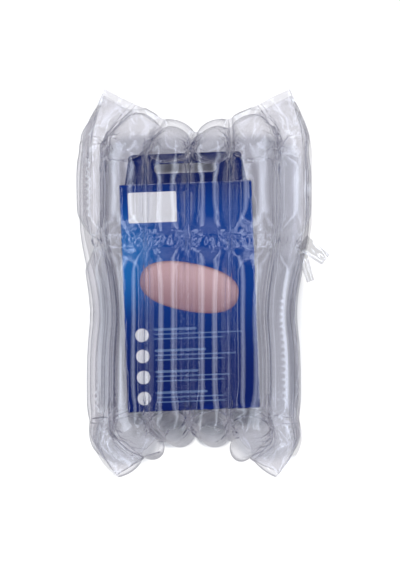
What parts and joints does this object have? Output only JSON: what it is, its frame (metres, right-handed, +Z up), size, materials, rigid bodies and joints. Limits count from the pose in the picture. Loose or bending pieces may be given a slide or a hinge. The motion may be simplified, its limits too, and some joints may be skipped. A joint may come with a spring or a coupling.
{
  "type": "inflatable air cushion bag",
  "caption": "Clear inflatable air-column bag with a crinkled fill channel and flat corner ears, inflated round a closed hanging carton and lying on its back.",
  "frame": {"origin": "middle of the whole pack's outline, on the surface that its back columns lie on", "axes": "+X across the air columns, +Y along them from the folded bottom to the mouth, +Z up out of the front panel"},
  "size_m": [0.1788, 0.2798, 0.0956],
  "materials": {
    "clear_film": "clear glossy film",
    "printed_card": "blue printed coated card"
  },
  "bodies": {
    "root": {"air_column_bag": "clear_film", "carton": "printed_card"}
  },
  "joints": []
}
